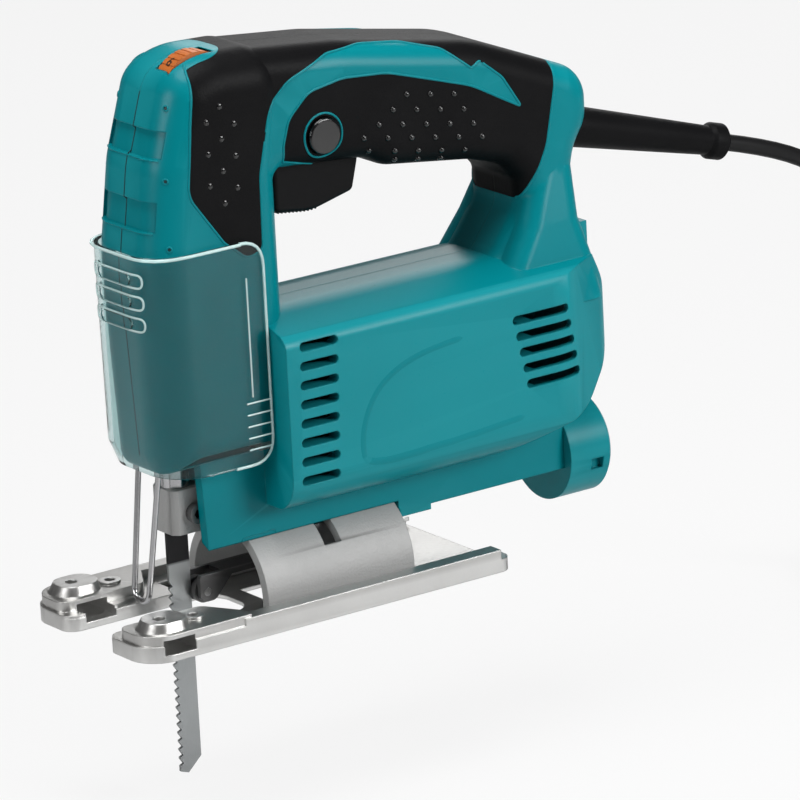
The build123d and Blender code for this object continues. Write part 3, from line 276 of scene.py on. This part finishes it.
for name, (look, body, slotName) in mouldings.items():
    shape = bmesh.new()
    shape.from_mesh(nodes[name].data)
    bmesh.ops.remove_doubles(shape, verts=shape.verts[:], dist=mergeGap * mm)
    for edge in shape.edges:
        edge.smooth = len(edge.link_faces) == 2 and edge.calc_face_angle(0) < sharpAngle
    piece = finishPiece(name + "Moulding", shape, look, body)
    weigh = piece.modifiers.new("faceWeight", "WEIGHTED_NORMAL")
    weigh.keep_sharp = True
    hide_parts(name)
print("mouldings", len(mouldings))

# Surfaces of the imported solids, to seat small details on them
surfaces = {}
outside = 200  # seating rays start this far out, clear of the tool


def surfaceOf(name):
    if name not in surfaces:
        shape = bmesh.new()
        shape.from_mesh(nodes[name].data)
        surfaces[name] = BVHTree.FromBMesh(shape)
        shape.free()
    return surfaces[name]


def seatAlong(names, start, way):
    best = None
    for name in names:
        hit, normal, face, reach = surfaceOf(name).ray_cast(Vector(start) * mm, Vector(way))
        if hit and (best is None or reach < best[2]):
            best = (hit, normal, reach)
    return best


def seatSide(names, x, z, side):
    return seatAlong(names, (x, side * outside, z), (0, -side, 0))


perCorner = 7  # points on each corner of a rounded path


# Each corner of an outline is two coordinates and a radius
def roundedPath(outline):
    corners = [Vector(corner[:2]) for corner in outline]
    path = []
    for i, here in enumerate(corners):
        before = (corners[i - 1] - here).normalized()
        after = (corners[(i + 1) % len(corners)] - here).normalized()
        cut = outline[i][2] / math.tan(before.angle(after) / 2)
        start, end = here + before * cut, here + after * cut
        for k in range(perCorner):
            share = k / (perCorner - 1)
            path.append(start.lerp(here, share).lerp(here.lerp(end, share), share))
    return path


def evenSteps(path, step, closed=True):
    steps = []
    ends = path[1:] + path[:1] if closed else path[1:]
    for here, there in zip(path, ends):
        count = max(1, round((there - here).length / step))
        steps += [here.lerp(there, k / count) for k in range(count)]
    if not closed:
        steps.append(path[-1])
    return steps


bead = {"segments": 3, "endSize": 0.15, "endSlope": 6, "shortRun": 3}


def addBeads(name, runs, radius, look, body, closed=False, taper=False):
    curve = bpy.data.curves.new(name, "CURVE")
    curve.dimensions = "3D"
    curve.bevel_depth = radius * mm
    curve.bevel_resolution = bead["segments"]
    curve.use_fill_caps = True
    for run in runs:
        line = curve.splines.new("POLY")
        line.points.add(len(run) - 1)
        line.use_cyclic_u = closed
        for i, (point, place) in enumerate(zip(line.points, run)):
            point.co = (*place, 1)
            if taper:
                grown = bead["endSlope"] * min(i, len(run) - 1 - i) / len(run)
                point.radius = min(1, bead["endSize"] + grown)
    piece = bpy.data.objects.new(name, curve)
    bpy.context.scene.collection.objects.link(piece)
    curve.materials.append(materials[look])
    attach(piece, body)
    return piece


# Stretches of a path that lie on a side's surface, where it faces outwards enough
def beadRuns(names, path, side, sink=0.0, facing=0.2):
    runs, run = [], []
    for x, z in path:
        seat = seatSide(names, x, z, side)
        if seat and abs(seat[1].y) > facing:
            run.append(seat[0] - seat[1] * sink * mm)
        elif run:
            runs.append(run)
            run = []
    if run:
        runs.append(run)
    return [run for run in runs if len(run) > bead["shortRun"]]


sides = {"Left": -1, "Right": 1}
shells = {"Left": ["housing_left", "grip_left"], "Right": ["housing_right", "grip_right"]}

# Moulded lips round the rubber panels
lip = {
    "radius": 0.45, "sink": 0.1, "step": 1.0,
    "outline": [
        (15, 200, 2), (7.5, 190, 6), (4.8, 173, 30), (2, 150, 10), (15, 132, 4), (23.5, 125, 5),
        (30.3, 127, 3), (30.8, 152, 20), (36, 173, 14), (45, 181, 14), (62, 186.9, 10), (77, 187.2, 30),
        (94, 184.6, 30), (109, 180, 10), (119.4, 171.6, 1), (123.2, 173.4, 1), (132, 166.2, 10),
        (139.5, 154.5, 0.5), (119, 165.8, 40), (85, 176.5, 30), (67, 178, 20), (53, 175.8, 10),
        (44.5, 168, 10), (41.8, 159, 6), (42.4, 153.6, 1), (75, 144.3, 3), (100, 127, 1), (126, 117, 1),
        (140.3, 121, 4), (149.3, 139, 20), (154, 161, 20), (160, 184, 2), (90, 210, 2),
    ],
}
lipPath = evenSteps(roundedPath(lip["outline"]), lip["step"])
for label, side in sides.items():
    lipRuns = beadRuns(shells[label], lipPath, side, lip["sink"])
    addBeads("gripLip" + label, lipRuns, lip["radius"], "casing", "body")
print("lips")

# Nose: seam line down the front, two ledges across it and three dimples on each side; each dimple is a teal
# rim round a flat dark dome that paints the shade in its hollow
nose = {
    "seamRadius": 0.2, "seamBeside": 0.05, "seamLow": 60, "seamHigh": 184,
    "ledges": [138.7, 162.7], "ledgeHalf": 15, "ledgeRadius": 0.35,
    "dimples": [(-3.7, 181), (-5.5, 156.6), (-5.6, 133.5)], "dimpleAcross": 19, "aim": (-1180, 1848, 732),
    "dimpleShadeRadius": 0.6, "dimpleShadeHeight": 0.06, "rimRadius": 0.85, "rimBead": 0.28,
}
seamRun = []
for z in range(nose["seamLow"], nose["seamHigh"]):
    seat = seatAlong(["housing_left"], (-outside, -nose["seamBeside"], z), (1, 0, 0))
    seamRun.append((seat[0].x, 0, seat[0].z))
addBeads("noseSeam", [seamRun], nose["seamRadius"], "seamAndDimpleShade", "body")

ledgeRuns = []
ledgeSteps = range(-nose["ledgeHalf"], nose["ledgeHalf"] + 1)
for z in nose["ledges"]:
    seats = [seatAlong(["housing_left", "housing_right"], (-outside, y, z), (1, 0, 0)) for y in ledgeSteps]
    ledgeRuns.append([seat[0] for seat in seats])
addBeads("noseLedges", ledgeRuns, nose["ledgeRadius"], "casing", "body")

dome = {"around": 16, "rows": 8, "rimPoints": 24}


def addDome(shape, place, normal, radius, height):
    turn = normal.to_track_quat("Z", "Y").to_matrix().to_4x4()
    made = bmesh.ops.create_uvsphere(
        shape, u_segments=dome["around"], v_segments=dome["rows"], radius=radius * mm
    )
    squeeze = Matrix.Diagonal((1, 1, height / radius, 1))
    bmesh.ops.transform(shape, matrix=Matrix.Translation(place) @ turn @ squeeze, verts=made["verts"])


def rimRun(place, normal, radius):
    turn = normal.to_track_quat("Z", "Y").to_matrix()
    angles = [2 * math.pi * k / dome["rimPoints"] for k in range(dome["rimPoints"])]
    return [place + turn @ Vector((math.cos(a), math.sin(a), 0)) * radius * mm for a in angles]


for label, side in sides.items():
    dimpleShadeShape = bmesh.new()
    rims = []
    aim = Vector((nose["aim"][0], side * nose["aim"][1], nose["aim"][2]))  # from the camera, and its mirror
    for x, z in nose["dimples"]:
        target = Vector((x, side * nose["dimpleAcross"], z))
        seat = seatAlong(shells[label], aim, (target - aim).normalized())
        # a flat dark dome: painted shade in the dimple's hollow
        addDome(dimpleShadeShape, seat[0], seat[1], nose["dimpleShadeRadius"], nose["dimpleShadeHeight"])
        rims.append(rimRun(seat[0], seat[1], nose["rimRadius"]))
    finishPiece("noseDimple" + label, dimpleShadeShape, "seamAndDimpleShade", "body")
    addBeads("noseDimpleRim" + label, rims, nose["rimBead"], "casing", "body", closed=True)
print("nose")

# Rubber studs on the grips: columns on the nose, slanting rows on the handle
stud = {
    "radius": 1.15, "noseHeight": 0.3, "handleHeight": 0.8,
    "columns": [(16.4, 178.1, 10.95, 4), (10.9, 173.6, 10.75, 3), (21.7, 171.3, 10.85, 3)],
    "rows": [(92.6, 167.6, 3), (86.7, 163.4, 4), (80.7, 159.4, 5), (74.4, 155.9, 6), (77.3, 150.7, 5),
             (88.0, 145.6, 3)],
    "rowStep": 9.65, "rowDrop": 1.72,
}
studPlaces = {
    "nose": [(x, top - pitch * i) for x, top, pitch, count in stud["columns"] for i in range(count)],
    "handle": [(x + stud["rowStep"] * i, z - stud["rowDrop"] * i)
               for x, z, count in stud["rows"] for i in range(count)],
}
for label, side in sides.items():
    studShape = bmesh.new()
    for zone, places in studPlaces.items():  # the nose's studs are low, so that the raised cover clears them
        for x, z in places:
            seat = seatSide(shells[label][1:], x, z, side)
            if seat:
                addDome(studShape, seat[0], seat[1], stud["radius"], stud[zone + "Height"])
    finishPiece("gripStuds" + label, studShape, "gloss", "body")
print("studs")

# Barrel: soft ridge round each side, ribs at the rear corners, oval slot outline on the keel
barrel = {
    "ridge": [(122, 83.4), (112, 83.5), (97, 83.5), (80, 81), (68, 75.3), (61.5, 67), (58.4, 56.5),
              (60, 46.8), (90, 47.8), (121, 50.2), (148, 52)],
    "ridgeCuts": (0.25, 0.75), "ridgeRounds": 3, "ridgeStep": 1.0,
    "ridgeRadius": 6.0, "ridgeSink": 5.65, "ridgeFacing": 0.5,
    "ribs": [67.5, 72, 76.5, 81], "ribFrom": 6, "ribTo": 16, "ribRadius": 0.8, "behind": 300,
    "slot": [(19.5, 24.6), (33, 25.2), (33, 27.6), (19.5, 27)], "slotCorner": 1.1, "slotStep": 0.8,
    "slotRadius": 0.25,
}
ridgePath = [Vector(point) for point in barrel["ridge"]]
for k in range(barrel["ridgeRounds"]):  # corner cutting keeps the ridge in soft curves
    spans = zip(ridgePath, ridgePath[1:])
    cuts = [here.lerp(there, share) for here, there in spans for share in barrel["ridgeCuts"]]
    ridgePath = ridgePath[:1] + cuts + ridgePath[-1:]
ridgePath = evenSteps(ridgePath, barrel["ridgeStep"], closed=False)
slotOutline = [(x, z, barrel["slotCorner"]) for x, z in barrel["slot"]]
slotPath = evenSteps(roundedPath(slotOutline), barrel["slotStep"])
ribSteps = range(barrel["ribFrom"], barrel["ribTo"] + 1)
for label, side in sides.items():
    housing = shells[label][:1]
    ridgeRuns = beadRuns(housing, ridgePath, side, barrel["ridgeSink"], barrel["ridgeFacing"])
    addBeads("barrelRidge" + label, ridgeRuns, barrel["ridgeRadius"], "casing", "body", taper=True)
    ribRuns = []
    for z in barrel["ribs"]:
        seats = [seatAlong(housing, (barrel["behind"], side * y, z), (-1, 0, 0)) for y in ribSteps]
        ribRuns.append([seat[0] for seat in seats if seat])
    addBeads("rearRibs" + label, ribRuns, barrel["ribRadius"], "casing", "body")
    slotRuns = beadRuns(housing, slotPath, side)
    addBeads("keelSlot" + label, slotRuns, barrel["slotRadius"], "casing", "body")
print("barrel")

# Lock button: teal ring round it
button = {"x": 58, "z": 160, "ringRadius": 7.6, "ringBead": 0.4, "ringPoints": 40}
circle = []
for k in range(button["ringPoints"]):
    angle = 2 * math.pi * k / button["ringPoints"]
    x = button["x"] + button["ringRadius"] * math.cos(angle)
    z = button["z"] + button["ringRadius"] * math.sin(angle)
    circle.append((x, z))
ringRuns = beadRuns(shells["Left"], circle, sides["Left"])
addBeads("buttonRing", ringRuns, button["ringBead"], "casing", "body", closed=True)

# Trigger: fine ribs under its front
triggerRibs = {"first": 46.5, "pitch": 1.5, "count": 11, "half": 6.4, "radius": 0.4}
ribRuns = []
for i in range(triggerRibs["count"]):
    x = triggerRibs["first"] + triggerRibs["pitch"] * i
    ends = [seatAlong(["trigger"], (x, side * triggerRibs["half"], 0), (0, 0, 1)) for side in (-1, 0, 1)]
    ribRuns.append([end[0] for end in ends if end])
addBeads("triggerRibs", ribRuns, triggerRibs["radius"], "black", "trigger")

# Dial numbers, on the rim
dial = {
    "x": 15.2, "y": -6.5, "z": 181.4, "radius": 13.62, "first": 126, "step": 24, "size": 5.2, "depth": 0.06,
    "numbers": 6,
}
numberShape = bmesh.new()
for i in range(dial["numbers"]):
    words = bpy.data.curves.new("number", "FONT")
    words.body = str(dial["numbers"] - i)
    words.size = dial["size"] * mm
    words.align_x = "CENTER"
    words.align_y = "CENTER"
    words.extrude = dial["depth"] * mm
    holder = bpy.data.objects.new("number", words)
    bpy.context.scene.collection.objects.link(holder)
    bpy.context.view_layer.update()
    flat = bpy.data.meshes.new_from_object(holder.evaluated_get(bpy.context.evaluated_depsgraph_get()))
    angle = math.radians(dial["first"] + dial["step"] * i)
    out = Vector((math.cos(angle), 0, math.sin(angle)))
    along = Vector((math.sin(angle), 0, -math.cos(angle)))
    across = along.cross(out)
    place = Vector((dial["x"], dial["y"], dial["z"])) * mm + out * dial["radius"] * mm
    flat.transform(Matrix.Translation(place) @ Matrix((across, along, out)).transposed().to_4x4())
    numberShape.from_mesh(flat)
    bpy.data.objects.remove(holder)
finishPiece("dialNumbers", numberShape, "ink", "speed_dial", smooth=False)
print("controls")

# Dust cover: rims, three finger ribs, guide lines and ridges at the rear, in a paler, less clear finish that
# paints the bright glint along them
cover = {
    "half": 22.5, "front": -15.4, "rear": 29, "round": 15, "corner": 9, "top": 131, "bottom": 54.5,
    "rim": 0.55, "rimInset": 0.3, "rimStep": 2.0, "topEnd": 20, "bottomEnd": 14,
    "ribs": [123, 115.5, 108], "ribHalf": 14, "ribHigh": 2.3, "ribCorner": 2.2, "ribStep": 1.0,
    "ribBead": 0.4, "ridges": [60, 64, 68, 72, 76], "ridgeRun": (19, 22, 25, 28.2), "ridgeBead": 0.3,
    "guide": 21.5, "guideRun": (78, 90, 105, 119),
}


# A rim goes round two corners and stops at two plain ends
def rimPath(firstEnd, firstCorner, lastCorner, lastEnd, radius):
    path = roundedPath([(*firstEnd, 0), (*firstCorner, radius), (*lastCorner, radius), (*lastEnd, 0)])
    return evenSteps(path[perCorner - 1:3 * perCorner + 1], cover["rimStep"], closed=False)


half, front, rear = cover["half"], cover["front"], cover["rear"]
top, bottom, inset = cover["top"], cover["bottom"], cover["rimInset"]
highEnd, lowEnd = cover["topEnd"], cover["bottomEnd"]
topPath = rimPath((highEnd, -half), (front, -half), (front, half), (highEnd, half), cover["round"])
sidePath = rimPath((lowEnd, bottom), (rear, bottom), (rear, top), (highEnd, top), cover["corner"])
rimRuns = [[(x * mm, y * mm, (top - inset) * mm) for x, y in topPath]]
for side in sides.values():
    rimRuns.append([((x - inset) * mm, side * (half - inset) * mm, z * mm) for x, z in sidePath])
addBeads("coverRim", rimRuns, cover["rim"], "clearEdgeHighlight", "dust_cover")

ribRuns = []
for z in cover["ribs"]:
    reach, low, high = cover["ribHalf"], z - cover["ribHigh"], z + cover["ribHigh"]
    ribCorners = [(-reach, low), (reach, low), (reach, high), (-reach, high)]
    ribOutline = [(*corner, cover["ribCorner"]) for corner in ribCorners]
    ribPath = evenSteps(roundedPath(ribOutline), cover["ribStep"])
    ribRuns.append([seatAlong(["dust_cover"], (-outside, y, high), (1, 0, 0))[0] for y, high in ribPath])
addBeads("coverRibs", ribRuns, cover["ribBead"], "clearEdgeHighlight", "dust_cover", closed=True)

ridgeRuns = []
for side in sides.values():
    for z in cover["ridges"]:
        ridgeRuns.append([(x * mm, side * half * mm, z * mm) for x in cover["ridgeRun"]])
    ridgeRuns.append([(cover["guide"] * mm, side * half * mm, z * mm) for z in cover["guideRun"]])
addBeads("coverRidges", ridgeRuns, cover["ridgeBead"], "clearEdgeHighlight", "dust_cover")
print("cover")

# Cord: one smooth spline along the laid route, through the tied coil to the plug
cordRadius = 3.0
cordGap = 0.3  # clearance round the cord
coil = {
    "center": (346.0, 0.0), "pitch": 6.7, "outer": 48.4, "turns": 3.25, "rise": 0.5, "over": 0.25,
    "tuck": 1.2, "swing": 0.5, "floor": -65.0, "tie": 1.2, "perTurn": 16,
}
coilZ = coil["floor"] + coil["tie"] + cordGap + cordRadius
topEnd = 2 * coil["turns"] + coil["rise"]
totalTurns = topEnd + coil["over"]


def eased(share):
    return share * share * (3 - 2 * share)


# In on the floor, up inside, out on top and over the rim
def coilPoint(turn):
    turns, pitch, outer = coil["turns"], coil["pitch"], coil["outer"]
    height = 0.0
    if turn < turns:
        radius = outer - pitch * turn
    elif turn < turns + coil["rise"]:
        share = (turn - turns) / coil["rise"]
        radius = outer - pitch * turns - coil["tuck"] * math.sin(math.pi * share) ** 2
        height = pitch * eased(share)
    elif turn < topEnd:
        radius = outer - pitch * (topEnd - turn)
        height = pitch
    else:
        share = (turn - topEnd) / coil["over"]
        radius = outer + coil["swing"] * math.sin(math.pi * share)
        height = pitch * (1 + eased(share))
    angle = math.pi / 2 - 2 * math.pi * turn
    x = coil["center"][0] + radius * math.cos(angle)
    y = coil["center"][1] + radius * math.sin(angle)
    return (x, y, coilZ + height)


relief = {"x": 168.5, "z": 139.2, "drop": 15.6, "length": 72.6, "straight": 28}
drop = math.radians(relief["drop"])
reliefWay = Vector((math.cos(drop), 0, -math.sin(drop)))
reliefEnd = Vector((relief["x"], 0, relief["z"])) + reliefWay * relief["length"]
plug = {
    "x": 348.0, "y": -36.5, "halfHeight": 6.8,
    "ribsBack": (30, 33, 36), "ribHalf": 9, "ribStep": 3, "ribRadius": 0.6,
}
plugZ = coilZ + coil["pitch"] + cordRadius + cordGap + plug["halfHeight"]
lead = [
    tuple(reliefEnd), tuple(reliefEnd + reliefWay * relief["straight"]), (292, 4, 96), (310.5, 11, 64),
    (306.5, 22.5, 28), (303.5, 32.5, -6), (304.5, 40.5, -38), (318, coil["outer"], coilZ),
]
wound = [coilPoint(i / coil["perTurn"]) for i in range(int(totalTurns * coil["perTurn"]) + 1)]
outX, outZ = wound[-1][0], wound[-1][2]
tail = [
    (outX, -16, outZ), (outX - 12.4, -33, outZ), (plug["x"] + 20, plug["y"], outZ + 0.4),
    (plug["x"] + 8, plug["y"], plugZ), (plug["x"], plug["y"], plugZ),
]
curve = bpy.data.curves.new("mainsCord", "CURVE")
curve.dimensions = "3D"
curve.bevel_depth = cordRadius * mm
curve.bevel_resolution = 4
curve.resolution_u = 6
line = curve.splines.new("NURBS")
route = lead + wound + tail
line.points.add(len(route) - 1)
for point, place in zip(line.points, route):
    point.co = (place[0] * mm, place[1] * mm, place[2] * mm, 1)
line.order_u = 3
line.use_endpoint_u = True
mainsCord = bpy.data.objects.new("mainsCord", curve)
bpy.context.scene.collection.objects.link(mainsCord)
curve.materials.append(materials["cord"])
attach(mainsCord, "body")
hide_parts("cord_lead", "cord_coil", "cord_end")

# Grip ribs across the plug, above and below
plugRuns = []
plugSteps = range(-plug["ribHalf"], plug["ribHalf"] + 1, plug["ribStep"])
for side in (1, -1):
    for back in plug["ribsBack"]:
        starts = [(plug["x"] - back, plug["y"] + y, side * outside) for y in plugSteps]
        seats = [seatAlong(["plug"], start, (0, 0, -side)) for start in starts]
        plugRuns.append([seat[0] for seat in seats if seat])
plugRibs = addBeads("plugRibs", plugRuns, plug["ribRadius"], "black", "body")
print("cord")

# Floor, soft light and the camera at the photograph's angle
studio = {"floorSize": 6.0, "floorZ": -0.0652, "glow": 0.85, "ambient": 0.1, "aim": (0.06, 0, 0.09)}
floorShape = bmesh.new()
bmesh.ops.create_grid(floorShape, x_segments=2, y_segments=2, size=studio["floorSize"])
bmesh.ops.translate(floorShape, verts=floorShape.verts[:], vec=(0, 0, studio["floorZ"]))
floorMesh = bpy.data.meshes.new("floor")
floorShape.to_mesh(floorMesh)
floorShape.free()
floor = bpy.data.objects.new("floor", floorMesh)
bpy.context.scene.collection.objects.link(floor)
floorMesh.materials.append(materials["floor"])

# The floor is pale to the camera and through the clear cover, and keeps the shadow
floorTree = materials["floor"].node_tree
paths = addNode(floorTree, "ShaderNodeLightPath")
seen = addNode(floorTree, "ShaderNodeMath", operation="MAXIMUM")
floorTree.links.new(paths.outputs["Is Camera Ray"], seen.inputs[0])
floorTree.links.new(paths.outputs["Is Transmission Ray"], seen.inputs[1])
share = addNode(floorTree, "ShaderNodeMath", operation="MULTIPLY")
share.inputs[1].default_value = studio["glow"]
floorTree.links.new(seen.outputs["Value"], share.inputs[0])
glow = addNode(floorTree, "ShaderNodeEmission", Strength=1.0, Color=(1, 1, 1, 1))
lit = floorTree.nodes["Principled BSDF"].outputs["BSDF"]
mixSurface(floorTree, share.outputs["Value"], lit, glow.outputs["Emission"])

world = bpy.data.worlds.new("studio")
bpy.context.scene.world = world
world.use_nodes = True
world.node_tree.nodes["Background"].inputs["Color"].default_value = (1, 1, 1, 1)
world.node_tree.nodes["Background"].inputs["Strength"].default_value = studio["ambient"]
bpy.context.scene.view_settings.view_transform = "Standard"

lamps = {
    "key": {"place": (0.55, -0.85, 0.45), "size": 0.5, "power": 7.5},
    "left": {"place": (-1.2, -0.1, 0.5), "size": 0.6, "power": 6.0},
    "top": {"place": (0.0, -0.1, 1.2), "size": 0.9, "power": 13.0},
    "back": {"place": (0.95, 0.95, 0.66), "size": 0.7, "power": 3.0},
}
for name, lamp in lamps.items():
    light = bpy.data.lights.new(name, "AREA")
    light.shape = "DISK"
    light.size = lamp["size"]
    light.energy = lamp["power"]
    holder = bpy.data.objects.new(name, light)
    bpy.context.scene.collection.objects.link(holder)
    holder.location = lamp["place"]
    gaze = Vector(studio["aim"]) - Vector(lamp["place"])
    holder.rotation_euler = gaze.to_track_quat("-Z", "Y").to_euler()

view = {
    "sensor": 36.0, "focal": 309.375, "far": 20.0, "place": (-1.17953, -1.84775, 0.73181),
    "right": (0.81324, -0.57976, -0.05012), "up": (0.20658, 0.20711, 0.95626),
    "back": (-0.54403, -0.78802, 0.2882),
}
lens = bpy.data.cameras.new("camera")
lens.sensor_fit = "HORIZONTAL"
lens.sensor_width = view["sensor"]
lens.lens = view["focal"]
lens.clip_end = view["far"]
camera = bpy.data.objects.new("camera", lens)
bpy.context.scene.collection.objects.link(camera)
axes = Matrix((view["right"], view["up"], view["back"])).transposed()
camera.matrix_world = Matrix.Translation(view["place"]) @ axes.to_4x4()
bpy.context.scene.camera = camera
print("studio")
